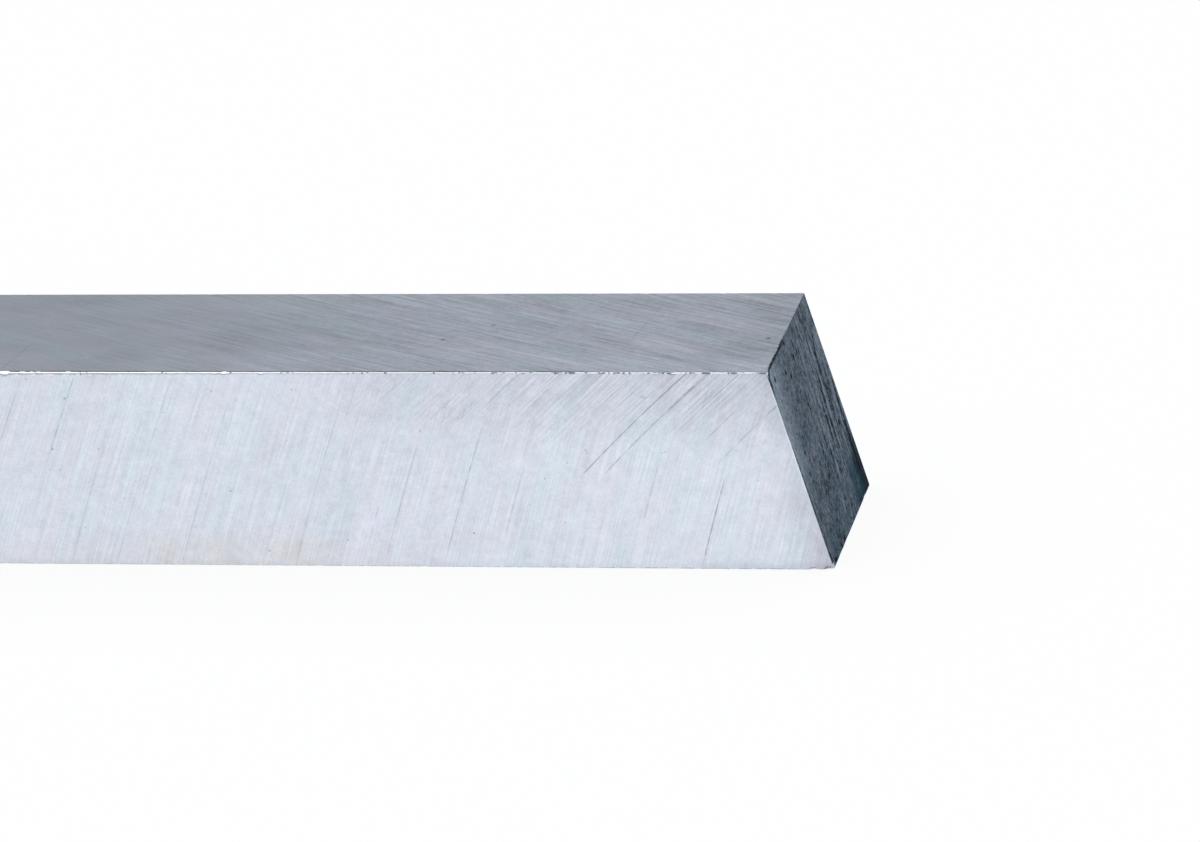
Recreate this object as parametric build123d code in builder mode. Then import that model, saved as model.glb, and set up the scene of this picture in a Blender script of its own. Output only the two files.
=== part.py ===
from build123d import *
import os
from math import radians, tan

# Square tool bit blank for a lathe: one bar of hardened high speed steel, ground flat on
# its four long faces, with both ends cut on the same bevel. Its side view is a
# parallelogram, and every edge carries the light break that the last grinding leaves.
#
# Frame, in millimetres: +X runs along the bar to the bevelled end with the worn corners,
# +Y points to its back, +Z up. The origin is on the base, at the middle of the outline.

# Driving dimensions
SIDE = 12.7  # across the flats of the square section
LENGTH = 101.6  # over the two tips, which are 8 sides apart
END_BEVEL = 14.0  # degrees that each end leans away from square
EDGE_BREAK = 0.09  # leg of the break along all twelve edges
TOP_CORNER_WEAR = 0.55  # leg of the worn corner at the top of the front face
TIP_CORNER_WEAR = 0.40  # leg of the worn corner at the tip, under the front face

# Sizes that follow
TIP_X = LENGTH / 2
SETBACK = SIDE * tan(radians(END_BEVEL))  # how far an end leans over the bar's height
FRONT_Y = -SIDE / 2


def corner_cut(corner, along_bar, along_side, along_end, leg):
    """The plane that takes one worn corner off, facing away from the steel that stays.

    It crosses the three edges that meet at the corner, each one leg away from it.
    """
    crossings = [Vector(*corner) + Vector(*way).normalized() * leg
                 for way in (along_bar, along_side, along_end)]
    origin = (crossings[0] + crossings[1] + crossings[2]) / 3
    normal = (crossings[1] - crossings[0]).cross(crossings[2] - crossings[0])
    outward = Vector(*corner) - origin
    if normal.dot(outward) < 0:
        normal = normal * -1
    return Plane(origin=origin, z_dir=normal)


# The bar, drawn as its side view and extruded to both sides of the middle plane
with BuildPart() as tool_bit:
    with BuildSketch(Plane.XZ):
        with BuildLine():
            Polyline(
                (SETBACK - TIP_X, 0),
                (TIP_X, 0),
                (TIP_X - SETBACK, SIDE),
                (-TIP_X, SIDE),
                close=True,
            )
        make_face()
    extrude(amount=SIDE / 2, both=True)

    # The light break along every edge
    chamfer(tool_bit.edges(), length=EDGE_BREAK)

    # The worn corner at the top of the front face
    split(
        bisect_by=corner_cut(
            (TIP_X - SETBACK, FRONT_Y, SIDE),
            (-1, 0, 0),
            (0, 1, 0),
            (SETBACK, 0, -SIDE),
            TOP_CORNER_WEAR,
        ),
        keep=Keep.BOTTOM,
    )

    # The worn corner at the tip, where the front face meets the base
    split(
        bisect_by=corner_cut(
            (TIP_X, FRONT_Y, 0),
            (-1, 0, 0),
            (0, 1, 0),
            (-SETBACK, 0, SIDE),
            TIP_CORNER_WEAR,
        ),
        keep=Keep.BOTTOM,
    )

tool_bit.part.label = "tool_bit"

os.makedirs("parts", exist_ok=True)
export_step(tool_bit.part, "parts/tool_bit.step")
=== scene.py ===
# %% [markdown]
# A square tool bit blank for a lathe
#
# The real thing is one bar of hardened high speed steel, half an inch square and four inches
# long. A wheel has ground its four long sides, and both ends were cut off on a slant. It has no
# second piece, so everything that makes it look real is in two places: the edges, which are
# broken, nicked and a little worn, and the finish, which is thousands of fine grinding lines.
#
# This lesson builds the bar with Geometry Nodes, because its shape follows a rule, and then
# gives each side its own finish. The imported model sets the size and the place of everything.

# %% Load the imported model
import math

import bpy
from mathutils import Matrix, Vector


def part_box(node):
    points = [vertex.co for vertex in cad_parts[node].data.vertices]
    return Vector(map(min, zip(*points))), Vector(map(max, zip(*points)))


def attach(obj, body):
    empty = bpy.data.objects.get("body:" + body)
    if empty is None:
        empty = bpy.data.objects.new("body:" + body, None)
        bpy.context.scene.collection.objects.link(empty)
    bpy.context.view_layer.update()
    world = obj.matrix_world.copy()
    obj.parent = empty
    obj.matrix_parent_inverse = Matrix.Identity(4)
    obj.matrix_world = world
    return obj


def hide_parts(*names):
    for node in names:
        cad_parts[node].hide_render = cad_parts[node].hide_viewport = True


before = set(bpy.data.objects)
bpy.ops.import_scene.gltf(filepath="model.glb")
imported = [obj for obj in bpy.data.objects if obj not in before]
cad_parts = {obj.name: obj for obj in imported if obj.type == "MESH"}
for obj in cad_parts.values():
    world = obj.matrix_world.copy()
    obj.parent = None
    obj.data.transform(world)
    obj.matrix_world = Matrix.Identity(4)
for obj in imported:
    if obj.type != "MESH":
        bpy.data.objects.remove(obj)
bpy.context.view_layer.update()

# %% [markdown]
# Sizes
#
# Nothing is measured twice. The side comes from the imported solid's box. The slant of the ends
# comes from the way that its big end face looks, and that face, followed to half the bar's
# height, gives the length. Blender works in metres, and a tool bit is easier to think about in
# millimetres, so MM turns one into the other.

# %% Read the bar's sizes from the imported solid
MM = 0.001

low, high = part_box("tool_bit")
SIDE = high.z - low.z
HALF_SIDE = SIDE / 2

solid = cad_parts["tool_bit"].data
end_faces = [face for face in solid.polygons if face.normal.x > 0.9]
end_face = max(end_faces, key=lambda face: face.area)
SLANT = end_face.normal.z / end_face.normal.x
HALF_LENGTH = end_face.center.x + (end_face.center.z - HALF_SIDE) * SLANT
print(f"side {SIDE / MM:.2f} mm, half length {HALF_LENGTH / MM:.2f} mm at half height,",
      f"ends {math.degrees(math.atan(SLANT)):.2f} degrees off square")

# %% [markdown]
# Writing nodes as sums
#
# A node tree is easier to read as a formula than as boxes and lines. Wire stands for one output
# of a node and knows how to add, take away, multiply and divide, so `1 - mask` adds a Math node.
# Recipe holds the tree, and its one method, node, makes every other kind of node: settings are
# set first, and then each socket gets a value or a wire. The same two classes serve the bar's
# shape and its finishes.

# %% A wire and a recipe
class Wire:
    """One output of a node, used in a formula as if it were a number."""

    def __init__(self, recipe, socket):
        self.recipe = recipe
        self.socket = socket

    def maths(self, operation, *terms):
        """A Math node on these terms."""
        settings = {"operation": operation}
        return self.recipe.node("ShaderNodeMath", settings, dict(enumerate(terms)))

    def __add__(self, other):
        return self.maths("ADD", self, other)

    __radd__ = __add__

    def __sub__(self, other):
        return self.maths("SUBTRACT", self, other)

    def __rsub__(self, other):
        return self.maths("SUBTRACT", other, self)

    def __mul__(self, other):
        return self.maths("MULTIPLY", self, other)

    __rmul__ = __mul__

    def __truediv__(self, other):
        return self.maths("DIVIDE", self, other)

    def __pow__(self, other):
        return self.maths("POWER", self, other)

    def __abs__(self):
        return self.maths("ABSOLUTE", self)

    def least(self, other):
        return self.maths("MINIMUM", self, other)

    def most(self, other):
        return self.maths("MAXIMUM", self, other)

    def below(self, other):
        return self.maths("LESS_THAN", self, other)

    def above(self, other):
        return self.maths("GREATER_THAN", self, other)

    def sign(self):
        return self.maths("SIGN", self)

    def root(self):
        return self.maths("SQRT", self)

    def rise(self, start, end):
        """0 at start, 1 at end and a smooth climb between them. Start may be past end."""
        settings = {"interpolation_type": "SMOOTHSTEP"}
        sockets = {"Value": self, "From Min": start, "From Max": end}
        return self.recipe.node("ShaderNodeMapRange", settings, sockets)


class Recipe:
    """A node tree that is written as Python."""

    def __init__(self, tree):
        self.tree = tree

    def node(self, kind, settings=None, sockets=None, output=0):
        """Makes one node. Returns a wire from its output, or a list if output is a tuple."""
        made = self.tree.nodes.new(kind)
        for name, value in (settings or {}).items():
            setattr(made, name, value)
        for name, value in (sockets or {}).items():
            if isinstance(value, Wire):
                self.tree.links.new(value.socket, made.inputs[name])
            else:
                made.inputs[name].default_value = value
        if isinstance(output, tuple):
            return [Wire(self, made.outputs[each]) for each in output]
        return Wire(self, made.outputs[output]) if made.outputs else None

    def split(self, vector):
        """The three numbers in a vector."""
        return self.node("ShaderNodeSeparateXYZ", None, {"Vector": vector}, (0, 1, 2))

    def join(self, x, y, z):
        """A vector from three numbers."""
        return self.node("ShaderNodeCombineXYZ", None, {"X": x, "Y": y, "Z": z})

    def vector(self, operation, *terms, output=0):
        """A Vector Math node on these terms."""
        settings = {"operation": operation}
        return self.node("ShaderNodeVectorMath", settings, dict(enumerate(terms)), output)

    def scaled(self, vector, amount):
        """A vector or a colour, made longer or brighter by this amount."""
        settings = {"operation": "SCALE"}
        return self.node("ShaderNodeVectorMath", settings, {0: vector, "Scale": amount})

    def noise(self, place, detail=2.0, rough=0.5):
        """Soft random numbers about 0, one bump for each unit of place."""
        sockets = {"Vector": place, "Scale": 1.0, "Detail": detail, "Roughness": rough}
        return self.node("ShaderNodeTexNoise", None, sockets) - 0.5

    def blend(self, share, first, second):
        """A colour that goes from first to second as share goes from 0 to 1."""
        sockets = {0: share, 6: first, 7: second}
        return self.node("ShaderNodeMix", {"data_type": "RGBA"}, sockets, 2)


print("ready to write nodes")

# %% [markdown]
# The camera
#
# The photograph was taken from the right of the bar's front, looking down, with a long lens. A
# camera was fitted to the bar's edges in it, which gave the numbers here: where the camera looks
# from, how far away it is, and a small turn about its own axis. The bar runs out of the picture
# on the left, as it does in the photograph.

# %% Place the camera
AZIMUTH = math.radians(13.84)
ELEVATION = math.radians(22.39)
ROLL = math.radians(-5.22)
AIM = Vector((35.75, 0.0, 6.91)) * MM
DISTANCE = 389.97 * MM
SENSOR = 36.0
LENS = 193.1

backwards = Vector((
    math.sin(AZIMUTH) * math.cos(ELEVATION),
    -math.cos(AZIMUTH) * math.cos(ELEVATION),
    math.sin(ELEVATION),
))
level_right = Vector((math.cos(AZIMUTH), math.sin(AZIMUTH), 0.0))
level_up = backwards.cross(level_right)
right = math.cos(ROLL) * level_right + math.sin(ROLL) * level_up
up = backwards.cross(right)

camera = bpy.data.objects.new("camera", bpy.data.cameras.new("camera"))
bpy.context.scene.collection.objects.link(camera)
camera.data.lens = LENS
camera.data.sensor_width = SENSOR
camera.data.clip_start = 0.01
camera.data.clip_end = 50.0
turn = Matrix((right, up, backwards)).transposed().to_4x4()
camera.matrix_world = Matrix.Translation(AIM + backwards * DISTANCE) @ turn
bpy.context.scene.camera = camera
print("camera at", [round(value, 4) for value in camera.matrix_world.translation])

# %% [markdown]
# The floor and the light
#
# The bar lies on a white table, under one large soft lamp in a grey room. Each has its work. The
# tall front side mirrors the table in front of it, so it looks bright. The top mirrors the room
# behind at a low angle, so it looks grey. The broken edges turn from one to the other and catch
# the lamp on the way, which draws them as thin white lines. The table looks white to the camera
# and in the steel, and still takes the bar's soft shadow.

# %% Set the stage
TABLE_WHITE = (0.95, 0.95, 0.95, 1.0)
PURE_WHITE = (1.0, 1.0, 1.0, 1.0)
ROOM_GREY = (0.355, 0.37, 0.385, 1.0)
TABLE_GLOW = 0.88
TABLE_SIZE = 20.0
TABLE_DROP = 0.01 * MM
LAMP_SIZE = 1.7
LAMP_HEIGHT = 0.8
LAMP_POWER = 10.0


def new_material(name):
    """An empty material and the recipe for its tree."""
    material = bpy.data.materials.new(name)
    material.use_nodes = True
    material.node_tree.nodes.clear()
    return material, Recipe(material.node_tree)


def table_material():
    """White paint that glows a little where the camera or the steel looks at it."""
    material, recipe = new_material("white_table")
    rays = ("Is Camera Ray", "Is Glossy Ray")
    camera_ray, glossy_ray = recipe.node("ShaderNodeLightPath", None, None, rays)
    seen = camera_ray.most(glossy_ray)
    paint = recipe.node("ShaderNodeBsdfDiffuse", None, {"Color": TABLE_WHITE})
    glow = recipe.node("ShaderNodeEmission", None, {"Color": PURE_WHITE, "Strength": 1.0})
    mixed = recipe.node("ShaderNodeMixShader", None, {0: seen * TABLE_GLOW, 1: paint, 2: glow})
    recipe.node("ShaderNodeOutputMaterial", None, {"Surface": mixed})
    return material


def flat_square(name, size, height):
    """A square sheet facing up, centred on the origin."""
    half = size / 2
    corners = [(x * half, y * half, height) for x, y in ((-1, -1), (1, -1), (1, 1), (-1, 1))]
    mesh = bpy.data.meshes.new(name)
    mesh.from_pydata(corners, [], [(0, 1, 2, 3)])
    square = bpy.data.objects.new(name, mesh)
    bpy.context.scene.collection.objects.link(square)
    return square


table = flat_square("table", TABLE_SIZE, low.z - TABLE_DROP)
table.data.materials.append(table_material())

lamp = bpy.data.objects.new("soft_lamp", bpy.data.lights.new("soft_lamp", "AREA"))
lamp.data.shape = "SQUARE"
lamp.data.size = LAMP_SIZE
lamp.data.energy = LAMP_POWER
lamp.location = (0.0, 0.0, LAMP_HEIGHT)
bpy.context.scene.collection.objects.link(lamp)

room = bpy.data.worlds.new("grey_room")
room.use_nodes = True
bpy.context.scene.world = room
room.node_tree.nodes["Background"].inputs["Color"].default_value = ROOM_GREY
room.node_tree.nodes["Background"].inputs["Strength"].default_value = 1.0
bpy.context.scene.view_settings.view_transform = "Standard"
print("table, lamp and room are set")

# %% [markdown]
# The finish of a ground side
#
# A grinding wheel leaves the same arc again and again, moved a little along the bar each time.
# So one number says where a streak lies: the distance across the streaks. Noise that is short
# across the streaks and long along them gives the grain. Real grain has more than one size, and
# so does this: wide soft bands, streaks that the eye can count, and a fine brush of lines.
#
# A scratch is a streak with a place and two ends. It is as thin as a hair, darker than the steel
# around it, and it comes and goes along its length. A mark is straight instead, and may lie any
# way. Spots are placed one by one, and pits by chance.

# %% Streaks that follow the wheel
SCRATCH_FADE = 0.5  # how far either side of its ends a scratch fades, in mm
MARK_FADE = 0.15  # the same for a straight mark, as a share of its length
SPOT_CORE = 0.4  # the share of a spot's radius where it is at its deepest
PIT_CHANCE = (0.4, 0.7)  # a cell's random number where pits begin, and where they are full


def leaning_pass(u, v, lean, bow=0.0, fan=0.0):
    """(distance across the streaks, distance along them) for one pass of the wheel, in mm.

    lean is the angle of the streaks from the v direction towards u where u and v are 0, in
    degrees, bow is how much they bend, and fan is how much steeper they get as u grows. It
    works on wires and on plain numbers.
    """
    towards_u = math.sin(math.radians(lean))
    towards_v = math.cos(math.radians(lean))
    across = u * towards_v - v * (towards_u - u * fan + v * bow)
    along = u * towards_u + v * towards_v
    return across, along


def streaks(recipe, wheel, width, length, seed, detail=2.0):
    """Noise drawn out along the streaks, about 0, for streaks of this width and length in mm."""
    across, along = wheel
    return recipe.noise(recipe.join(across / width, along / length, seed), detail)


def band(number, start, end, fade):
    """1 between start and end, with a soft climb and a soft fall."""
    return number.rise(start - fade, start + fade) * number.rise(end + fade, end - fade)


def scratch(across, v, place, start, end, width):
    """1 on a scratch that follows the streaks at this place, from v = start to v = end."""
    near = 1 - (abs(across - place) / width).least(1.0)
    return near * band(v, start, end, SCRATCH_FADE)


def scratches(across, v, marks, width):
    """All these scratches together: each has a place, its two ends and a depth of tone."""
    total = 0.0
    for place, start, end, depth in marks:
        total = scratch(across, v, place, start, end, width) * depth + total
    return total


def spots(u, v, places):
    """All these round spots together: each has its centre, its radius and a depth of tone."""
    total = 0.0
    for centre_u, centre_v, radius, depth in places:
        from_u, from_v = u - centre_u, v - centre_v
        distance = (from_u * from_u + from_v * from_v).root()
        total = distance.rise(radius, radius * SPOT_CORE) * depth + total
    return total


def straight_mark(u, v, start, end, width):
    """1 on a straight mark between two points of a face."""
    length = math.dist(start, end)
    way_u, way_v = (end[0] - start[0]) / length, (end[1] - start[1]) / length
    from_u, from_v = u - start[0], v - start[1]
    along = from_u * way_u + from_v * way_v
    across = from_u * way_v - from_v * way_u
    near = 1 - (abs(across) / width).least(1.0)
    return near * band(along, 0.0, length, length * MARK_FADE)


def straight_marks(u, v, marks):
    """All these straight marks together: each has its two ends, its width and a depth of tone."""
    total = 0.0
    for start, end, width, depth in marks:
        total = straight_mark(u, v, start, end, width) * depth + total
    return total


def mottle(recipe, u, v, size, detail, seed):
    """Noise about 0 with no direction, as strong in its finest octave as in its coarsest."""
    return recipe.noise(recipe.join(u / size, v / size, seed), detail, 1.0)


def pits(recipe, u, v, spacing, radius, seed):
    """1 on small round pits, fewer than one to a square of this spacing, in mm."""
    sockets = {"Vector": recipe.join(u / spacing, v / spacing, seed), "Scale": 1.0}
    distance, colour = recipe.node("ShaderNodeTexVoronoi", None, sockets, (0, 1))
    chance = recipe.split(colour)[0]
    size = radius * chance
    return (distance * spacing).rise(size, size * SPOT_CORE) * chance.rise(*PIT_CHANCE)


print("streaks, scratches, marks and pits are ready")

# %% [markdown]
# Ground steel
#
# Each side of the bar was ground on its own, so each has its own direction of grain, but the
# steel is one. It is a pale bluish grey that strays a little towards lilac and green, as bare
# steel does where a thin film lies on it. The grain changes its tone by only a few parts in a
# hundred, because ground steel is bright all over. Part of that change has no direction at all,
# which keeps the lines from looking combed. The same grain feeds the roughness and the bump, at
# about a thousandth of a millimetre, so that a lamp moving over the bar finds it.
#
# A pass of the wheel is written down as layers: how wide its streaks are, how long, in
# millimetres, and their share of the tone. The widest layer comes first and stays out of the bump.

# %% What all ground sides share
LILAC = (0.729, 0.749, 0.855, 1.0)
GREENISH = (0.685, 0.765, 0.844, 1.0)
STAINED = (0.748, 0.757, 0.806, 1.0)
GRAIN_HEIGHT = 0.0015 * MM
GRAIN_GAIN = 2.0
GROUND_ROUGHNESS = 0.33
GRAIN_IN_ROUGHNESS = 0.1
HUE_WIDTH = 2.0
HUE_LENGTH = 10.0
HUE_SPREAD = 0.16


def finish_material(recipe, sockets):
    """Closes a material's tree with its surface shader and its output."""
    surface = recipe.node("ShaderNodeBsdfPrincipled", None, sockets)
    recipe.node("ShaderNodeOutputMaterial", None, {"Surface": surface})


def millimetres(recipe):
    """The place on the bar, as x, y and z in millimetres."""
    place = recipe.node("ShaderNodeTexCoord", None, None, "Object")
    return recipe.split(recipe.scaled(place, 1 / MM))


def steel_colour(recipe, wheel, tone, seed, stained):
    """Bare steel of this tone, with faint streaks of hue, and warmer where it is stained."""
    across, along = wheel
    patches = recipe.noise(recipe.join(across / HUE_WIDTH, along / HUE_LENGTH, seed), 5.0, 0.7)
    hue = recipe.blend(patches.rise(-HUE_SPREAD, HUE_SPREAD), LILAC, GREENISH)
    return recipe.scaled(recipe.blend(stained, hue, STAINED), tone)


def grain(recipe, wheel, seed, layers):
    """(change of tone, fine part of it) for the grain of one pass of the wheel."""
    wires = [
        streaks(recipe, wheel, width, length, seed + number) * share
        for number, (width, length, share) in enumerate(layers)
    ]
    fine = sum(wires[1:])
    return wires[0] + fine, fine


def ground_steel(recipe, wheel, tone, fine, seed, stained=0.0):
    """Closes the tree of a ground side with its tone and its fine grain."""
    bump = {"Distance": GRAIN_HEIGHT, "Height": fine * GRAIN_GAIN}
    finish_material(recipe, {
        "Base Color": steel_colour(recipe, wheel, tone, seed, stained),
        "Metallic": 1.0,
        "Roughness": GROUND_ROUGHNESS - fine * GRAIN_IN_ROUGHNESS,
        "Normal": recipe.node("ShaderNodeBump", None, bump),
    })


print("ground steel is ready")

# %% [markdown]
# The front side
#
# This is the side that the camera sees best. The wheel crossed it twice. The first pass left
# steep streaks over the whole side. The second only touched the upper part towards the near
# end, on a shallower line, and dulled it, so it looks darker there. Both passes left single
# scratches. Small pits are scattered about, and a faint warm stain has dried at the foot.
#
# Tone is about 1 where the steel is plain. Each place that is brighter or darker has a line of
# its own below: the numbers in rise and band are millimetres on the side, read off the
# photograph, and the factor behind them is how much tone the place gains or loses.

# %% The front side's finish
FIRST_PASS = (22.3, 0.003, 0.0016)  # lean, bow and fan of leaning_pass
SECOND_PASS = (44.0, 0.0095)
FIRST_LAYERS = ((2.6, 22.0, 0.09), (0.34, 14.0, 0.14), (0.1, 6.0, 0.32))
SECOND_LAYERS = ((2.0, 16.0, 0.13), (0.34, 9.0, 0.21), (0.1, 4.0, 0.75))
FRONT_TONE = 1.02
FRONT_MOTTLE = 0.52
SCRATCH_WIDTH = 0.062
BROAD_WIDTH = 0.3
SCRATCH_GAIN = 2.5

# Each scratch: x at its middle, its lowest point, its highest point and its depth of tone
FIRST_SCRATCHES = (
    (0.7, 8.2, 12.5, 0.10),
    (3.95, 7.6, 12.6, 0.12),
    (4.9, 0.5, 8.0, 0.05),
    (8.45, 0.0, 11.9, 0.08),
    (12.25, 0.0, 10.4, 0.09),
    (19.7, 0.3, 11.9, 0.05),
    (22.8, 1.8, 4.2, 0.07),
    (23.6, 0.4, 2.6, 0.07),
    (24.95, 2.7, 7.9, 0.08),
    (28.45, 0.8, 8.8, 0.11),
    (31.6, 2.2, 6.5, 0.07),
    (39.95, 3.0, 6.5, 0.14),
    (43.6, 0.0, 5.6, 0.21),
)
SECOND_SCRATCHES = (
    (29.0, 9.2, 11.2, 0.06),
    (31.5, 10.5, 12.7, 0.08),
    (34.2, 10.4, 12.7, 0.08),
    (39.3, 6.2, 12.7, 0.21),
    (40.65, 6.3, 12.7, 0.18),
    (42.9, 10.3, 12.7, 0.07),
    (43.9, 8.8, 12.7, 0.11),
    (44.45, 8.3, 10.1, 0.12),
    (46.35, 7.0, 10.9, 0.12),
)
BROAD_STREAKS = (
    (5.2, 0.6, 9.6, 0.035),
    (19.3, 0.4, 9.6, 0.04),
    (18.3, 0.2, 4.2, 0.04),
)

# Each spot: x and height of its middle, its radius and its depth of tone
FRONT_SPOTS = (
    (1.9, 12.27, 0.09, 0.3),
    (4.2, 11.0, 0.1, 0.35),
    (3.02, 7.65, 0.1, 0.4),
    (3.33, 6.3, 0.08, 0.3),
    (5.95, 7.7, 0.08, 0.3),
    (10.3, 10.1, 0.07, 0.3),
    (13.95, 4.95, 0.09, 0.35),
    (18.5, 11.6, 0.09, 0.3),
    (16.0, 1.0, 0.1, 0.35),
    (21.0, 1.75, 0.08, 0.4),
    (4.5, 2.45, 0.07, 0.3),
    (26.2, 8.9, 0.11, 0.3),
    (28.9, 2.25, 0.1, 0.45),
    (33.6, 5.85, 0.08, 0.35),
    (34.6, 3.0, 0.08, 0.35),
)

# Each mark: its two ends, its width and its depth of tone
FRONT_MARKS = (
    ((36.2, 7.8), (36.4, 7.45), 0.08, 0.2),
    ((40.85, 7.5), (41.2, 7.65), 0.08, 0.18),
    ((39.85, 11.2), (40.2, 11.1), 0.08, 0.2),
    ((50.15, 0.02), (50.45, 0.26), 0.07, 0.35),
    ((50.36, 0.1), (50.62, 0.2), 0.06, 0.3),
)


def placed(marks, settings):
    """The same scratches, with x at the middle of each turned into its place across a pass."""
    return [
        (leaning_pass(middle, (start + end) / 2 - HALF_SIDE / MM, *settings)[0], start, end, depth)
        for middle, start, end, depth in marks
    ]


def front_side():
    """Two passes of the wheel, single scratches, a few pits and a stain."""
    material, recipe = new_material("front_ground")
    x, _, z = millimetres(recipe)
    height = z - HALF_SIDE / MM

    first = leaning_pass(x, height, *FIRST_PASS)
    second = leaning_pass(x, height, *SECOND_PASS)
    first_tone, first_fine = grain(recipe, first, 1.0, FIRST_LAYERS)
    second_tone, second_fine = grain(recipe, second, 5.0, SECOND_LAYERS)
    speckle = mottle(recipe, x, z, 1.2, 4.0, 8.0) * FRONT_MOTTLE

    ragged = recipe.noise(recipe.join(x / 3.0, z / 1.5, 9.0)) * 4.5
    upper = (z + ragged).rise(6.4, 12.4)
    crossed = (x.rise(18.0, 27.0) * 0.6 + band(x, 33.0, 45.0, 4.0) * 0.4) * upper
    dulled = (x.rise(19.0, 26.0) * 0.1 + x.rise(31.0, 46.0) * 0.05) * upper
    bright = x.rise(25.0, 38.0) * z.rise(10.5, 7.5) * 0.025
    broken = (recipe.noise(recipe.join(x / 0.9, z / 0.9, 13.0), 4.0) + 0.5).rise(0.25, 0.6)
    marks = scratches(first[0], z, placed(FIRST_SCRATCHES, FIRST_PASS), SCRATCH_WIDTH)
    marks = marks + scratches(second[0], z, placed(SECOND_SCRATCHES, SECOND_PASS), SCRATCH_WIDTH)
    marks = marks * broken * SCRATCH_GAIN + straight_marks(x, z, FRONT_MARKS)
    specks = spots(x, z, FRONT_SPOTS) + pits(recipe, x, z, 0.9, 0.09, 18.0) * 0.2
    specks = specks + scratches(first[0], z, placed(BROAD_STREAKS, FIRST_PASS), BROAD_WIDTH)

    on_the_left = x.rise(30.0, 18.0)
    foot = z.rise(2.8, 0.3) * on_the_left * 0.03 + z.rise(0.45, 0.15) * 0.05
    blotch = (recipe.noise(recipe.join(x / 2.2, z / 0.9, 19.0), 3.0) + 0.5).rise(0.3, 0.7)
    stain = band(x, 9.0, 19.5, 1.8) * z.rise(3.2, 1.2) * blotch

    off_end = HALF_LENGTH / MM - height * SLANT - x
    lower = z.rise(8.0, 3.5)
    beside_end = off_end.rise(1.6 + lower * 1.6, 0.0) * (0.11 + lower * 0.1)
    near_tip = off_end.rise(1.2, 0.1) * z.rise(2.2, 0.6) * 0.1
    near_tip = near_tip + x.rise(41.0, 44.0) * z.rise(0.8, 0.2) * 0.09
    # Painted highlight: a light line on the front beside the end edge.
    painted_end_highlight = off_end.rise(0.12, 0.04) * band(z, 5.0, 11.6, 1.0) * 0.25

    steady = 1 - crossed
    tone = FRONT_TONE + speckle + first_tone * (0.4 + 0.6 * steady) + second_tone * crossed
    tone = tone + bright - dulled - marks - specks - foot - stain * 0.05
    tone = tone - beside_end - near_tip + painted_end_highlight
    fine = first_fine * steady + second_fine * crossed - marks
    warm = (stain + z.rise(2.6, 0.6) * on_the_left * 0.5).least(1.0)
    ground_steel(recipe, first, tone, fine, 3.0, warm)
    return material


finishes = {"front": front_side()}
print("front:", len(finishes["front"].node_tree.nodes), "nodes")

# %% [markdown]
# The top side
#
# The top is seen at a low angle, so its grain looks stronger than the front's. Its streaks run
# nearly along the bar, and they are clearest towards the near end. A few bright grains, dull
# spots and scratches keep it from looking even. A thin dark line of painted shade runs beside
# the front edge, and dots of painted shade lie along the end, at the worn corner.

# %% The top side's finish
TOP_PASS = (-63.0, 0.003)
TOP_LAYERS = ((1.6, 18.0, 0.22), (0.5, 9.0, 0.29), (0.17, 5.0, 0.8))
TOP_TONE = 0.955
TOP_MOTTLE = 0.5

# Marks and spots as on the front side, with y for the height. A depth below 0 brightens.
TOP_MARKS = (
    ((38.2, -2.7), (39.2, 4.25), 0.09, 0.13),
    ((0.2, -6.0), (0.95, -1.8), 0.09, 0.14),
    ((29.7, -2.25), (37.3, -5.4), 0.13, -0.14),
    ((42.2, -3.6), (45.2, -5.6), 0.11, -0.10),
)
TOP_SPOTS = (
    (46.74, -0.95, 0.22, 0.45),
    (26.78, -1.13, 0.22, 0.4),
    (29.37, 1.15, 0.22, 0.35),
)


def top_side():
    """One pass of the wheel, nearly along the bar, with a few marks."""
    material, recipe = new_material("top_ground")
    x, y, _ = millimetres(recipe)
    wheel = leaning_pass(x, y, *TOP_PASS)
    streaky, fine = grain(recipe, wheel, 11.0, TOP_LAYERS)
    speckle = mottle(recipe, x, y, 0.6, 3.0, 26.0) * TOP_MOTTLE
    strength = 0.42 + x.rise(4.0, 30.0) * 0.93
    glints = pits(recipe, x, y, 2.6, 0.15, 28.0) * 0.25
    marks = straight_marks(x, y, TOP_MARKS) + spots(x, y, TOP_SPOTS) - glints
    marks = marks + pits(recipe, x, y, 3.1, 0.14, 27.0) * 0.3

    cloud = recipe.noise(recipe.join(x / 6.0, y / 3.0, 30.0)) * 0.25
    dimmer_left = x.rise(24.0, 4.0) * 0.145
    dimmer_middle = band(x, 12.0, 27.0, 4.0) * band(y, -3.0, 3.0, 1.5) * 0.07
    dimmer_end = x.rise(42.0, 46.5) * y.rise(-5.5, -3.0) * 0.08
    brighter_front = x.rise(30.0, 38.0) * y.rise(-2.5, -5.5) * 0.05

    # Painted shade: a thin dark line on the top beside the front edge, in patches.
    patchy = (recipe.noise(recipe.join(x / 1.5, y, 29.0), 2.0) + 0.5).rise(0.3, 0.6)
    painted_edge_shade = y.rise(-6.0, -6.2) * (0.36 + patchy * 0.24) * (0.3 + x.rise(40.0, 34.0) * 0.7)
    # Painted shade: dark dots along the end's outline at the worn top corner.
    dotted = (recipe.noise(recipe.join(x, y / 0.35, 31.0), 1.0) + 0.5).rise(0.35, 0.6)
    off_end = HALF_LENGTH / MM - HALF_SIDE / MM * SLANT - x
    painted_corner_shade = off_end.rise(0.08, 0.045) * y.rise(1.5, -2.0) * (0.1 + dotted * 0.85)

    tone = TOP_TONE + (streaky + speckle) * strength + cloud + brighter_front
    tone = tone - marks - painted_edge_shade - dimmer_left - dimmer_middle - dimmer_end
    ground_steel(recipe, wheel, tone * (1 - painted_corner_shade), fine * strength, 23.0)
    return material


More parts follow.
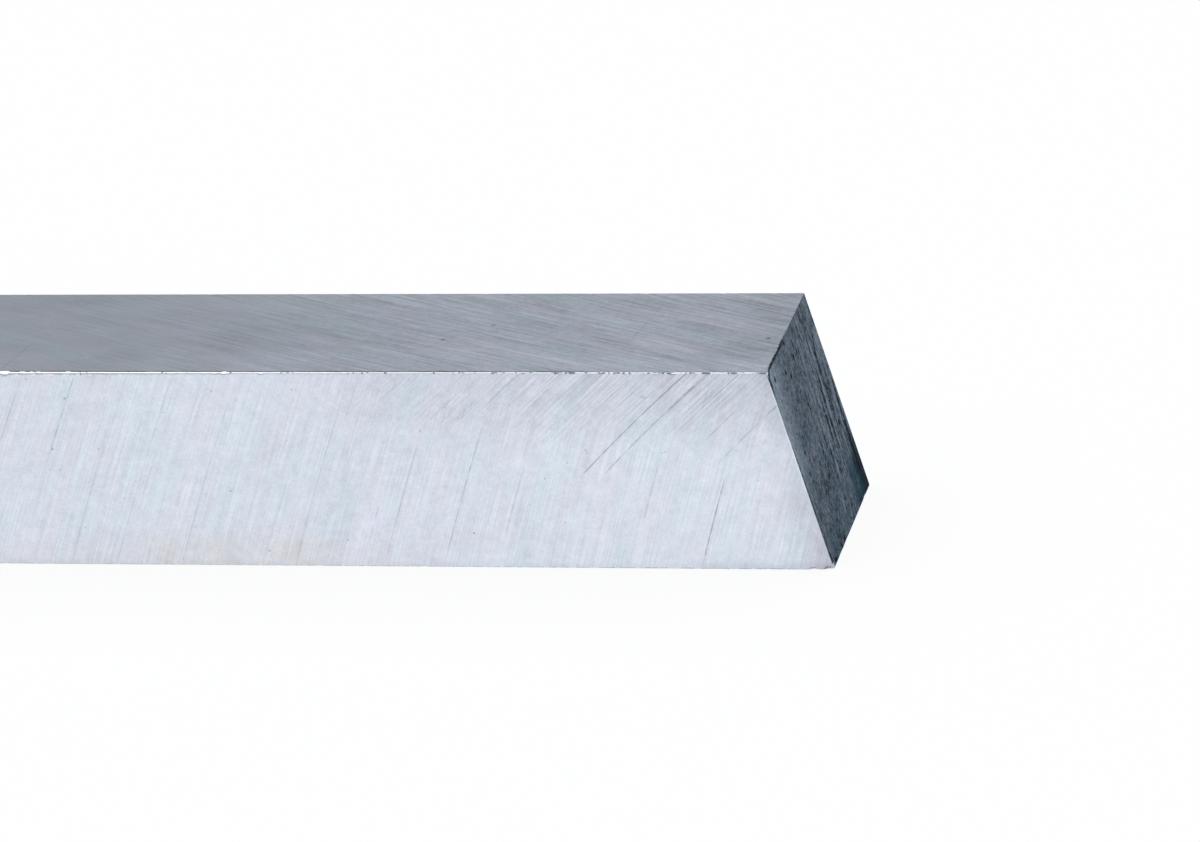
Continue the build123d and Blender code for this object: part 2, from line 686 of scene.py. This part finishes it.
finishes["top"] = top_side()
print("top:", len(finishes["top"].node_tree.nodes), "nodes")

# %% [markdown]
# The back and the base
#
# The photograph doesn't show these two, so they are plain ground sides. They get the same steel
# and the same kinds of streak, with their own directions, seeds and a few pits.

# %% The two sides that are out of sight
PLAIN_LAYERS = ((2.4, 20.0, 0.12), (0.36, 12.0, 0.16), (0.1, 6.0, 0.4))
PLAIN_MOTTLE = 0.45


def plain_side(name, across_axis, lean, bow, seed):
    """A ground side with one pass of the wheel. across_axis is 1 for y and 2 for z."""
    material, recipe = new_material(name)
    place = millimetres(recipe)
    u, v = place[0], place[across_axis]
    wheel = leaning_pass(u, v, lean, bow)
    tone, fine = grain(recipe, wheel, seed, PLAIN_LAYERS)
    speckle = mottle(recipe, u, v, 1.5, 4.0, seed + 4) * PLAIN_MOTTLE
    specks = pits(recipe, u, v, 2.5, 0.14, seed + 5) * 0.35
    ground_steel(recipe, wheel, tone + speckle + 1.0 - specks, fine, seed + 7)
    return material


finishes["back"] = plain_side("back_ground", 2, -17.0, 0.004, 41.0)
finishes["base"] = plain_side("base_ground", 1, 68.0, 0.01, 61.0)
print("back and base:", len(finishes["back"].node_tree.nodes), "nodes each")

# %% [markdown]
# The cut ends
#
# An end was cut through with a thin wheel and not ground after, so it is much darker and duller
# than the sides, and blotchy. The cut left lines down the slope. They are faint near the front,
# and towards the back they break up into black dashes and pale streaks. The lower back corner,
# where the cut ran out, is burnt to a blackish blue green. Near the worn top corner and along
# the front edge, a painted reflection makes the end paler. A thin dark line of painted shade
# follows the outline round that corner. It is drawn by the same kind of number as the rounding:
# 1 on the outline and 0 well inside.
#
# The camera sees the near end at a low angle, where steel mirrors more. The edge tint is the
# colour of that extra light, so it sets how blue the darkest places look.

# %% The ends' finish
CUT_LILAC = (0.179, 0.173, 0.201, 1.0)
CUT_TEAL = (0.149, 0.175, 0.198, 1.0)
CUT_BURNT = (0.012, 0.036, 0.042, 1.0)
CUT_EDGE_TINT = (0.20, 0.335, 0.42, 1.0)
CUT_METALLIC = 0.85
CUT_ROUGHNESS = 0.46
CUT_DARKEST = 0.06
CUT_HEIGHT = 0.004 * MM
CUT_BLOTCHES = 1.2
CUT_MOTTLE = 1.2
CUT_SPECKLE = 3.2
CUT_LEAN = 0.1
DASH_WIDTH = 0.3
GLEAM_WIDTH = 0.34
OUTLINE_BACK = 1.25
OUTLINE_DOWN = 0.52

# Black dashes and pale gleams: y at half height, lowest and highest point, and depth of tone
DASHES = (
    (5.85, 1.6, 7.0, 1.7),
    (2.3, 4.6, 7.2, 1.8),
    (3.0, 4.9, 7.4, 1.7),
    (3.2, 7.7, 8.3, 1.0),
    (4.05, 8.7, 9.7, 1.0),
    (4.75, 10.1, 10.9, 1.3),
    (0.4, 10.8, 11.7, 0.9),
    (1.35, 8.6, 9.4, 1.0),
    (1.15, 0.9, 2.3, 1.1),
    (1.1, 4.0, 4.8, 1.3),
    (-0.5, 4.0, 9.0, 0.7),
    (5.0, 3.0, 9.0, 0.35),
)
GLEAMS = (
    (1.45, 2.0, 6.6, 0.6),
    (3.4, 0.8, 8.0, 0.65),
    (3.6, 7.5, 10.5, 0.5),
    (2.4, 2.2, 4.8, 0.4),
    (4.5, 5.0, 9.4, 0.35),
    (5.2, 6.0, 12.4, 0.3),
)

# Spots and marks as on the front side, with y for x
END_SPOTS = (
    (-5.12, 11.77, 0.28, 1.3),
    (-5.05, 11.4, 0.2, -0.8),
    (-2.63, 11.23, 0.24, 1.1),
    (-3.42, 10.47, 0.24, 0.7),
    (-2.25, 0.24, 0.36, 0.9),
    (-3.2, 0.2, 0.3, 0.8),
    (-1.1, 3.8, 0.24, 1.0),
    (-4.2, 6.7, 0.2, 0.6),
)
END_MARKS = (
    ((-5.6, 0.28), (-4.9, 0.0), 0.24, 1.6),
    ((-6.22, 1.2), (-5.98, 0.1), 0.16, 1.4),
    ((5.4, 1.4), (5.95, 7.4), 0.24, 0.9),
)


def cut_end(name, seed):
    """The dark finish of a cut end."""
    material, recipe = new_material(name)
    _, y, z = millimetres(recipe)
    down_slope = leaning_pass(y, z, 5.0)
    to_back = y.rise(-1.5, 3.5)

    wobble = recipe.noise(recipe.join(y / 0.8, z / 0.8, seed)) * 0.15
    broken = (recipe.noise(recipe.join(y / 0.25, z / 0.3, seed + 1), 3.0) + 0.5).rise(0.35, 0.58)
    wandering = y - (z - HALF_SIDE / MM) * CUT_LEAN + wobble
    dashes = scratches(wandering, z, DASHES, DASH_WIDTH) * (0.15 + 0.85 * broken)
    gleams = scratches(wandering, z, GLEAMS, GLEAM_WIDTH) * (0.5 + 0.5 * broken)

    blotches = recipe.noise(recipe.join(y / 3.0, z / 3.0, seed + 2), 2.0) * CUT_BLOTCHES
    blotches = blotches + mottle(recipe, y, z, 1.3, 3.0, seed + 10) * CUT_MOTTLE
    speckle = mottle(recipe, y, z, 0.36, 2.0, seed + 8) * CUT_SPECKLE
    bands = streaks(recipe, down_slope, 1.1, 7.0, seed + 3) * to_back * 1.1
    lines = streaks(recipe, down_slope, 0.4, 4.5, seed + 4) * (0.25 + 0.75 * to_back) * 2.3
    short = streaks(recipe, down_slope, 0.18, 1.0, seed + 5, 3.0) * (0.45 + 0.55 * to_back) * 3.2
    specks = pits(recipe, y, z, 0.9, 0.24, seed + 6) * 0.9
    specks = specks + pits(recipe, y, z, 0.5, 0.16, seed + 7) * 0.5
    specks = specks + spots(y, z, END_SPOTS) + straight_marks(y, z, END_MARKS)

    ragged = y + bands * 1.5
    low_back = ragged.rise(2.3, 3.3) * z.rise(3.6, 2.0)
    back_edge = ragged.rise(4.7, 5.7) * z.rise(4.6, 2.8)
    corner = y.rise(4.0, 5.2) * z.rise(3.2, 1.5)
    run_out = low_back.most(back_edge) * 0.72 + corner * 0.27
    bright_back = y.rise(4.6, 6.1) * z.rise(3.6, 6.0)
    low_front = y.rise(1.0, -3.0) * z.rise(6.5, 4.5)
    middle = band(y, -4.0, 3.0, 1.8) * band(z, 4.2, 9.5, 1.4)
    # Painted reflection: the end is made paler near the worn top corner and along the front edge,
    # where it turns towards the light.
    painted_sheen_front = y.rise(-3.4, -5.9) * z.rise(4.6, 6.8)
    painted_sheen_top = y.rise(-1.5, -4.6) * z.rise(10.4, 12.0)
    painted_sheen_rim = y.rise(-4.9, -6.1)

    # Painted shade: a thin dark line along the outline round the worn corner, along the top edge
    # and down the lower front edge.
    beyond_y = (1 - (y + HALF_SIDE / MM) / OUTLINE_BACK).most(0.0)
    beyond_z = (1 - (SIDE / MM - z) / OUTLINE_DOWN).most(0.0)
    outline = (beyond_y * beyond_y + beyond_z * beyond_z).root().rise(0.6, 0.78)
    top_rim = z.rise(12.6, 12.68) * 0.6
    painted_outline_shade = outline.most(top_rim) * y.rise(0.5, -2.5) * z.rise(10.8, 11.7)
    painted_outline_shade = painted_outline_shade.most(y.rise(-6.0, -6.2) * z.rise(8.2, 7.0) * broken * 0.6)

    tone = 1.0 + blotches + speckle + bands + lines + short + gleams - dashes - specks
    tone = tone + bright_back * 0.25 + painted_sheen_front * 0.75 + painted_sheen_top * 0.3 + painted_sheen_rim * 0.3
    tone = (tone + middle * 0.09 - low_front * 0.15) * (1 - z.rise(5.0, 2.0) * 0.08)
    tone = tone * (1 - painted_outline_shade * (0.6 + 0.35 * broken))
    height = lines + short - dashes - specks
    patches = recipe.noise(recipe.join(y / 1.1, z / 1.6, seed + 9), 5.0, 0.9)
    lilac_middle = band(y, -4.8, 5.6, 1.6) * z.rise(0.5, 4.0) * 0.06
    warmer = (patches + lilac_middle).rise(-0.12, 0.18)
    hue = recipe.blend(run_out, recipe.blend(warmer, CUT_TEAL, CUT_LILAC), CUT_BURNT)
    bump = {"Distance": CUT_HEIGHT, "Height": height}
    finish_material(recipe, {
        "Base Color": recipe.scaled(hue, tone.most(CUT_DARKEST)),
        "Metallic": CUT_METALLIC,
        "Roughness": CUT_ROUGHNESS,
        "Specular Tint": CUT_EDGE_TINT,
        "Normal": recipe.node("ShaderNodeBump", None, bump),
    })
    return material


finishes["near_end"] = cut_end("near_end_cut", 71.0)
finishes["far_end"] = cut_end("far_end_cut", 91.0)
print("ends:", len(finishes["near_end"].node_tree.nodes), "nodes each")

# %% [markdown]
# The long edges
#
# The top front edge has a near white steel colour, a painted highlight, so that it is the
# brightest line on the bar. It isn't even: tiny nicks and dark gaps of painted shade break it
# up, more so towards the near end, where the bar was handled. The other three long edges have a
# duller steel without that painted highlight, and fainter gaps.

# %% The finishes of the long edges
# The near white steel of the top front edge is a painted highlight, and the dark gaps are painted
# shade.
PAINTED_HIGHLIGHT_WHITE = (0.96, 0.97, 1.0, 1.0)
DULL = (0.55, 0.57, 0.62, 1.0)
GAP_DARK = (0.26, 0.29, 0.35, 1.0)
HIGHLIGHT_GAPS = 1.0
DULL_GAPS = 0.45
GAP_SIZE = 0.22
EDGE_ROUGHNESS = 0.28


def edge_finish(name, steel, gap_share):
    """An edge of this steel, with dark gaps of painted shade that grow towards the near end.

    dustiness is how much the gaps show, from 0 to 1.
    """
    material, recipe = new_material(name)
    x, y, z = millimetres(recipe)
    place = recipe.join(x / GAP_SIZE, y / GAP_SIZE, z / GAP_SIZE)
    gaps = recipe.noise(place, 3.0) + 0.5
    battered = x.rise(20.0, 32.0) * 0.05 + x.rise(32.0, 40.0) * 0.08
    # Painted shade: dark gaps that break up the edge's colour.
    dark_gaps = (gaps - battered).rise(0.4, 0.3) * gap_share
    finish_material(recipe, {
        "Base Color": recipe.blend(dark_gaps, steel, GAP_DARK),
        "Metallic": 1.0,
        "Roughness": EDGE_ROUGHNESS + dark_gaps * 0.2 + battered * 1.2,
    })
    return material


finishes["highlit_edge"] = edge_finish("highlit_edge", PAINTED_HIGHLIGHT_WHITE, HIGHLIGHT_GAPS)
finishes["dull_edge"] = edge_finish("dull_edge", DULL, DULL_GAPS)
print("finishes:", sorted(finishes))

# %% [markdown]
# The shape of the bar
#
# The bar starts as a grid on a box, with its points gathered towards the edges, where the
# detail is. Three rules then shape it. Every long edge is rounded by a small radius, the edges of
# the ends are rounded by another, and the whole is leaned over so that the ends slant. The radii
# aren't even: noise makes them vary, nicks and chips add to them, and so does the wear at two
# corners. Where a radius grows, the edge draws back from where it was, as it does when steel is
# knocked. Nicks are placed by chance, and chips where the photograph shows them.

# %% The bar as a tree of geometry nodes
CELLS_ALONG = 860
CELLS_ACROSS = 28
GATHER_ALONG = 1.45
GATHER_ACROSS = 2.3
TINY = 1e-9
WAVE = 0.7 * MM
WAVE_SHARE = 1.6
LEAST_RADIUS = 0.025 * MM
SEEDS_AN_AXIS = 10  # every axis has its own run of seeds
SIZE_SEED = 5
SMALLEST_NICK = 0.25
NICK_DEPTH = 0.5
SAME_FINISH = 0.1
SIDES = ("front", "top", "back", "base", "near_end", "far_end", "highlit_edge", "dull_edge")
SHAPE_INPUTS = (
    ("Half length", "NodeSocketFloat"),
    ("Furthest end", "NodeSocketFloat"),
    ("Half side", "NodeSocketFloat"),
    ("Slant", "NodeSocketFloat"),
    ("Edge break", "NodeSocketFloat"),
    ("End break", "NodeSocketFloat"),
    ("Top corner wear", "NodeSocketFloat"),
    ("Tip corner wear", "NodeSocketFloat"),
    ("Nicks on each long edge", "NodeSocketInt"),
    ("Nicks on each end edge", "NodeSocketInt"),
    ("Largest nick", "NodeSocketFloat"),
    ("Seed", "NodeSocketInt"),
)


def new_shape_tree(name):
    """An empty geometry tree with the bar's named inputs, and its recipe and input wires."""
    tree = bpy.data.node_groups.new(name, "GeometryNodeTree")
    tree.interface.new_socket(name="Geometry", in_out="OUTPUT", socket_type="NodeSocketGeometry")
    for label, kind in SHAPE_INPUTS:
        tree.interface.new_socket(name=label, in_out="INPUT", socket_type=kind)
    for side in SIDES:
        tree.interface.new_socket(name=side, in_out="INPUT", socket_type="NodeSocketMaterial")
    recipe = Recipe(tree)
    labels = tuple(label for label, kind in SHAPE_INPUTS) + SIDES
    wires = recipe.node("NodeGroupInput", None, None, labels)
    return tree, recipe, dict(zip(labels, wires))


def gathered(number, half, power):
    """A number from -1 to 1, spread over -half to half with more of it near the two limits."""
    return number.sign() * half * (1 - (1 - abs(number)) ** power)


def gridded_box(recipe, given):
    """The box, with its points gathered towards its edges."""
    cube = recipe.node("GeometryNodeMeshCube", None, {
        "Size": (2.0, 2.0, 2.0),
        "Vertices X": CELLS_ALONG + 1,
        "Vertices Y": CELLS_ACROSS + 1,
        "Vertices Z": CELLS_ACROSS + 1,
    })
    x, y, z = recipe.split(recipe.node("GeometryNodeInputPosition"))
    place = recipe.join(
        gathered(x, given["Half length"], GATHER_ALONG),
        gathered(y, given["Half side"], GATHER_ACROSS),
        gathered(z, given["Half side"], GATHER_ACROSS),
    )
    return recipe.node("GeometryNodeSetPosition", None, {"Geometry": cube, "Position": place})


def random_number(recipe, least, most, seed):
    """A random number for each point."""
    sockets = {2: least, 3: most, "Seed": seed}
    return recipe.node("FunctionNodeRandomValue", None, sockets, 1)


def nicks_along(recipe, given, axis):
    """Points scattered over the four edges of the box that run along one axis."""
    halves = [given["Half length"], given["Half side"], given["Half side"]]
    first_seed = given["Seed"] + SEEDS_AN_AXIS * axis
    place = []
    for number, half in enumerate(halves):
        value = random_number(recipe, -1.0, 1.0, first_seed + number)
        place.append((value if number == axis else value.sign()) * half)
    chance = random_number(recipe, 0.0, 1.0, first_seed + SIZE_SEED)
    size = given["Largest nick"] * (SMALLEST_NICK + (1 - SMALLEST_NICK) * chance ** 3)
    count = given["Nicks on each long edge" if axis == 0 else "Nicks on each end edge"] * 4
    sockets = {"Count": count, "Position": recipe.join(*place), "Radius": size}
    return recipe.node("GeometryNodePoints", None, sockets)


def chip(recipe, place, size):
    """One chip of a known size at a known place, as a point on the unslanted box."""
    x, y, z = (value * MM for value in place)
    middle_z = z - HALF_SIDE
    sockets = {"Count": 1, "Position": (x + SLANT * middle_z, y, middle_z), "Radius": size * MM}
    return recipe.node("GeometryNodePoints", None, sockets)


print("box, nicks and chips are ready")

# %% Chips that the photograph shows, in millimetres: place, then size
CHIPS = (
    ((14.4, -6.35, 12.7), 0.32),
    ((16.7, -6.35, 12.7), 0.25),
    ((0.6, -6.35, 12.7), 0.4),
    ((19.0, -6.35, 0.0), 0.25),
    ((21.9, -6.35, 0.0), 0.25),
    ((25.6, -6.35, 0.0), 0.3),
    ((50.8, -1.3, 0.0), 0.35),
    ((50.8, -1.75, 0.0), 0.25),
    ((50.8, 4.6, 0.0), 0.2),
    ((49.6, -6.35, 0.0), 0.4),
)


def all_nicks(recipe, given):
    """Every nick and chip, as one cloud of points whose radius is the nick's size."""
    clouds = [nicks_along(recipe, given, axis) for axis in range(3)]
    clouds += [chip(recipe, place, size) for place, size in CHIPS]
    joined = recipe.tree.nodes.new("GeometryNodeJoinGeometry")
    for cloud in clouds:
        recipe.tree.links.new(cloud.socket, joined.inputs[0])
    return Wire(recipe, joined.outputs[0])


def nick_depth(recipe, cloud, place):
    """How much the nearest nick adds to the rounding here."""
    nearest = recipe.node("GeometryNodeSampleNearest", None, {0: cloud, "Sample Position": place})
    at = recipe.node(
        "GeometryNodeSampleIndex",
        {"data_type": "FLOAT_VECTOR"},
        {0: cloud, 1: recipe.node("GeometryNodeInputPosition"), 2: nearest},
    )
    size = recipe.node(
        "GeometryNodeSampleIndex",
        {"data_type": "FLOAT"},
        {0: cloud, 1: recipe.node("GeometryNodeInputRadius"), 2: nearest},
    )
    distance = recipe.vector("DISTANCE", place, at, output=1)
    return distance.rise(size, 0.0) * size * NICK_DEPTH


print(len(CHIPS), "chips")

# %% [markdown]
# Rounding by rule
#
# Take a point of the box near a long edge. How deep it is in the corner, towards the back and
# upwards, is two numbers between 0 and 1, deep_y and deep_z, and on the box the larger of them
# is what matters. Giving the pair that larger one as its length turns the square corner into a
# round one and moves nothing else. The ends are rounded the same way, from the depth towards the
# end and the depth towards the side.
#
# Near the worn top corner the rounding reaches further back than down, and only for the last
# tenth of a millimetre or so of the bar. So the edge stays crisp until just before the end, and
# the outline of the end face is what looks worn. The other near front corner is rubbed away
# evenly, and the steel there is as bright as the side's, so it gets the front's finish. The top
# front edge is rubbed wider than the other three, most of all away from the near end.
#
# Last, the bar is leaned over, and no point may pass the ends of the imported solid's box, which
# come in as the input Furthest end.

# %% Round the edges and lean the ends
def rounded_pair(first, second):
    """Two depths into a corner, moved from a square outline to a round one."""
    shrink = first.most(second) / (first * first + second * second).root().most(TINY)
    return first * shrink, second * shrink


TOP_WEAR_REACH = (0.07 * MM, 1.9 * MM, 1.1 * MM)
TIP_WEAR_REACH = (0.9 * MM, 0.8 * MM, 0.8 * MM)
WEAR_BACK = 1.5
WEAR_DOWN = 0.6
WORN_EDGE = 0.3 * MM
TIP_BARE = 0.5
LOWER_BREAK = 0.82  # the width of the other edges, as a share of the top front one's
RUBBED_FROM = 18.0 * MM
RUBBED_TO = 6.0 * MM
RUBBED_SHARE = 1.2  # how much wider that one gets between these two places


def corner_wear(recipe, given, place, towards_top, reach):
    """How worn a near front corner is here, from 1 at the corner to 0 at its reach on each axis."""
    x, y, z = recipe.split(place)
    off_end = (given["Half length"] - x) / reach[0]
    off_front = (y + given["Half side"]) / reach[1]
    off_top = (given["Half side"] - z * towards_top) / reach[2]
    distance = (off_end * off_end + off_front * off_front + off_top * off_top).root()
    return distance.rise(1.0, 0.0)


def local_radii(recipe, given, place):
    """The reaches of the rounding here, how wide the edge looks, and the tip corner's wear."""
    x, y, z = recipe.split(place)
    waves = recipe.noise(recipe.join(x / WAVE, y / WAVE, z / WAVE), 3.0)
    nick = nick_depth(recipe, all_nicks(recipe, given), place)
    top_front = z.above(0.0) * y.below(0.0)
    rubbed = 1.0 - LOWER_BREAK + x.rise(RUBBED_FROM, RUBBED_TO) * RUBBED_SHARE
    share = LOWER_BREAK + rubbed * top_front
    plain = (given["Edge break"] * share * (1.0 + waves * WAVE_SHARE) + nick).most(LEAST_RADIUS)
    top = corner_wear(recipe, given, place, 1.0, TOP_WEAR_REACH)
    tip = corner_wear(recipe, given, place, -1.0, TIP_WEAR_REACH)
    worn_tip = tip * given["Tip corner wear"]
    back = plain + top * given["Top corner wear"] * WEAR_BACK + worn_tip
    down = plain + top * given["Top corner wear"] * WEAR_DOWN + worn_tip
    at_end = (given["End break"] + nick).least(plain)
    return {"back": back, "down": down, "end": at_end, "edge": plain + top * WORN_EDGE, "tip": tip}


def rounded_place(recipe, given, place, radii):
    """Where a point of the box goes."""
    x, y, z = recipe.split(place)
    half_length, half_side = given["Half length"], given["Half side"]
    back, down, at_end = radii["back"], radii["down"], radii["end"]
    deep_y = ((abs(y) - half_side + back) / back).most(0.0)
    deep_z = ((abs(z) - half_side + down) / down).most(0.0)
    round_y, round_z = rounded_pair(deep_y, deep_z)
    out_y, out_z = round_y * back, round_z * down
    reach = (out_y * out_y + out_z * out_z).root().most(TINY)

    deep_end = (at_end - half_length + abs(x)).most(0.0)
    deep_side = (at_end - half_side + abs(y).most(abs(z))).most(0.0)
    round_end, round_side = rounded_pair(deep_end, deep_side)
    pull = 1 - (deep_side - round_side) / reach

    new_x = x.sign() * (abs(x) - deep_end + round_end)
    new_y = y.sign() * (abs(y) - deep_y * back + out_y * pull)
    new_z = z.sign() * (abs(z) - deep_z * down + out_z * pull)
    furthest = given["Furthest end"]
    leaned = (new_x - new_z * given["Slant"]).least(furthest).most(-1 * furthest)
    return recipe.join(leaned, new_y, new_z + half_side)


def finish_number(recipe, given, place, radii):
    """Which finish a face of the box has: its place in SIDES, as a number."""
    _, y, z = recipe.split(place)
    n_x, n_y, n_z = recipe.split(recipe.node("GeometryNodeInputNormal"))
    at_an_end = abs(n_x).above(0.5)
    bare = radii["tip"].above(TIP_BARE)
    long_edge = (
        (given["Half side"] - abs(y)).below(radii["edge"])
        * (given["Half side"] - abs(z)).below(radii["edge"])
        * (1 - at_an_end)
    )
    top_front = z.above(0.0) * y.below(0.0)
    edge = top_front * SIDES.index("highlit_edge") + (1 - top_front) * SIDES.index("dull_edge")
    flat = (
        n_z.above(0.5) * SIDES.index("top")
        + n_y.above(0.5) * SIDES.index("back")
        + (-1 * n_z).above(0.5) * SIDES.index("base")
        + n_x.above(0.5) * SIDES.index("near_end")
        + (-1 * n_x).above(0.5) * SIDES.index("far_end")
    )
    return (flat * (1 - long_edge) + long_edge * edge) * (1 - bare)


def shape_bar(name):
    """The geometry tree of the whole bar."""
    tree, recipe, given = new_shape_tree(name)
    box = gridded_box(recipe, given)
    place = recipe.node("GeometryNodeInputPosition")
    radii = local_radii(recipe, given, place)
    numbered = recipe.node(
        "GeometryNodeStoreNamedAttribute",
        {"data_type": "FLOAT", "domain": "FACE"},
        {"Geometry": box, "Name": "finish", "Value": finish_number(recipe, given, place, radii)},
    )
    moved = {"Geometry": numbered, "Position": rounded_place(recipe, given, place, radii)}
    shaped = recipe.node("GeometryNodeSetPosition", None, moved)
    smooth = recipe.node("GeometryNodeSetShadeSmooth", None, {"Geometry": shaped})
    bar = recipe.node("GeometryNodeRealizeInstances", None, {"Geometry": smooth})

    as_number = {"data_type": "FLOAT"}
    stored = recipe.node("GeometryNodeInputNamedAttribute", as_number, {"Name": "finish"})
    everywhere = {"Geometry": bar, "Material": given[SIDES[0]]}
    bar = recipe.node("GeometryNodeSetMaterial", None, everywhere)
    for number, side in enumerate(SIDES[1:], start=1):
        chosen = stored.maths("COMPARE", stored, float(number), SAME_FINISH)
        there = {"Geometry": bar, "Selection": chosen, "Material": given[side]}
        bar = recipe.node("GeometryNodeSetMaterial", None, there)
    recipe.node("NodeGroupOutput", None, {"Geometry": bar})
    return tree


tree = shape_bar("tool_bit_shape")
print("shape tree:", len(tree.nodes), "nodes")

# %% [markdown]
# Making the bar
#
# The tree goes on an empty mesh as a modifier. Its inputs are set by their identifiers before
# anything looks at the result, and then the result is kept as an ordinary mesh. The finished
# piece stands in for the imported solid, which is hidden, and is attached to the root body.

# %% Make the bar and put it in place of the imported solid
def set_inputs(modifier, tree, values):
    """Sets a modifier's inputs by the names they have in the tree."""
    for item in tree.interface.items_tree:
        if item.in_out == "INPUT":
            modifier[item.identifier] = values[item.name]


shape_values = {
    "Half length": HALF_LENGTH,
    "Furthest end": high.x,
    "Half side": HALF_SIDE,
    "Slant": SLANT,
    "Edge break": 0.055 * MM,
    "End break": 0.035 * MM,
    "Top corner wear": 0.8 * MM,
    "Tip corner wear": 0.3 * MM,
    "Nicks on each long edge": 30,
    "Nicks on each end edge": 2,
    "Largest nick": 0.25 * MM,
    "Seed": 7,
}
shape_values.update(finishes)

blank = bpy.data.objects.new("tool_bit_maker", bpy.data.meshes.new("tool_bit_maker"))
bpy.context.scene.collection.objects.link(blank)
modifier = blank.modifiers.new("shape", "NODES")
modifier.node_group = tree
set_inputs(modifier, tree, shape_values)

shaped = blank.evaluated_get(bpy.context.evaluated_depsgraph_get())
mesh = bpy.data.meshes.new_from_object(shaped)
mesh.materials.pop(index=0)  # the empty slot that every new grid starts with
mesh.name = "tool_bit_steel"
piece = bpy.data.objects.new("tool_bit_steel", mesh)
bpy.context.scene.collection.objects.link(piece)
bpy.data.objects.remove(blank)
print("bar:", len(mesh.vertices), "points,", len(mesh.polygons), "faces,",
      [material.name for material in mesh.materials])

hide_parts("tool_bit")
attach(piece, "root")
